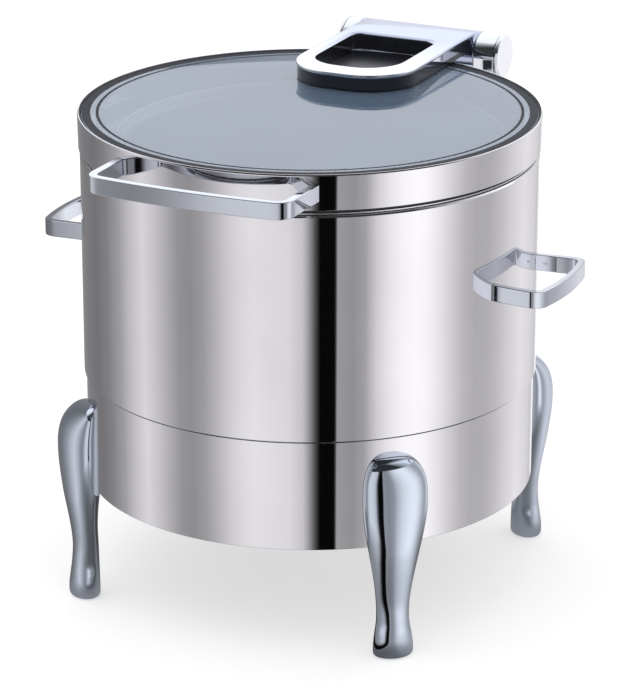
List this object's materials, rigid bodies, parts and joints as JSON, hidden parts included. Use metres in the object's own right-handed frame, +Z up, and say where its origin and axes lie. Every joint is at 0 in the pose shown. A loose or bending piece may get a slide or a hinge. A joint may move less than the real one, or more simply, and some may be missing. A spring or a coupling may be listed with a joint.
{
  "type": "round soup chafer",
  "caption": "Round polished steel soup chafer on a stand with curved legs, with a glass lid on a rear barrel hinge, a soup pot in a water pan and a burner cup below.",
  "frame": {"origin": "on the floor under the centre of the whole footprint; the pot's vertical axis stands 11.8 mm in front of it, at y = -0.0118", "axes": "+Z up, +Y towards the lid hinge, so the lid handle faces -Y; +X to the right seen from the front"},
  "size_m": [0.465, 0.4846, 0.4196],
  "materials": {
    "polished_steel": "mirror-polished stainless steel",
    "satin_steel": "satin stainless steel",
    "chrome_casting": "chrome-plated zinc casting, polished",
    "screw_steel": "plain steel",
    "black_silicone": "matt black silicone",
    "nylon": "natural nylon",
    "phenolic": "heat-proof phenolic, semi-gloss",
    "lid_glass": "clear tempered glass with a printed dark border"
  },
  "bodies": {
    "stand": {"stand_skirt": "polished_steel", "stand_ledge": "satin_steel", "seat_gasket": "black_silicone", "leg_front_right": "chrome_casting", "leg_rear_right": "chrome_casting", "leg_rear_left": "chrome_casting", "leg_front_left": "chrome_casting", "foot_pad_front_right": "black_silicone", "foot_pad_rear_right": "black_silicone", "foot_pad_rear_left": "black_silicone", "foot_pad_front_left": "black_silicone", "leg_screw_front_right_1": "screw_steel", "leg_screw_front_right_2": "screw_steel", "leg_screw_rear_right_1": "screw_steel", "leg_screw_rear_right_2": "screw_steel", "leg_screw_rear_left_1": "screw_steel", "leg_screw_rear_left_2": "screw_steel", "leg_screw_front_left_1": "screw_steel", "leg_screw_front_left_2": "screw_steel", "burner_crossbar": "satin_steel", "crossbar_screw_left": "screw_steel", "crossbar_screw_right": "screw_steel", "burner_cup": "satin_steel", "snuffer_pin": "screw_steel"},
    "snuffer": {"snuffer_lid": "satin_steel", "snuffer_knob": "phenolic"},
    "chafer_body": {"outer_shell": "polished_steel", "base_ring": "satin_steel", "water_pan": "satin_steel", "pot_support_ring": "satin_steel", "soup_pot": "satin_steel", "left_handle": "chrome_casting", "right_handle": "chrome_casting", "left_handle_screw_front": "screw_steel", "left_handle_screw_rear": "screw_steel", "right_handle_screw_front": "screw_steel", "right_handle_screw_rear": "screw_steel", "hinge_bracket": "chrome_casting", "bracket_screw_1": "screw_steel", "bracket_screw_2": "screw_steel", "hinge_cap_left": "chrome_casting", "hinge_cap_right": "chrome_casting", "hinge_shaft": "screw_steel"},
    "lid": {"lid_ring": "polished_steel", "glass_gasket": "black_silicone", "lid_seal": "black_silicone", "lid_glass": "lid_glass", "hinge_arm": "chrome_casting", "arm_pad": "black_silicone", "clamp_plate": "satin_steel", "clamp_screw_1": "screw_steel", "clamp_screw_2": "screw_steel", "clamp_screw_3": "screw_steel", "clamp_screw_4": "screw_steel", "hinge_bush_left": "nylon", "hinge_bush_right": "nylon", "lid_spring": "screw_steel", "lid_handle": "chrome_casting", "lid_handle_screw_left": "screw_steel", "lid_handle_screw_right": "screw_steel"}
  },
  "joints": [
    {"name": "body_lift", "type": "slide", "parent": "stand", "child": "chafer_body", "axis": [0, 0, 1], "range_m": [0, 0.12]},
    {"name": "lid_hinge", "type": "hinge", "parent": "chafer_body", "child": "lid", "pos_m": [0, 0.2228, 0.4001], "axis": [-1, 0, 0], "range_deg": [0, 90]},
    {"name": "snuffer_swing", "type": "hinge", "parent": "stand", "child": "snuffer", "pos_m": [0, 0.0532, 0.11], "axis": [0, 0, 1], "range_deg": [0, 100]}
  ]
}
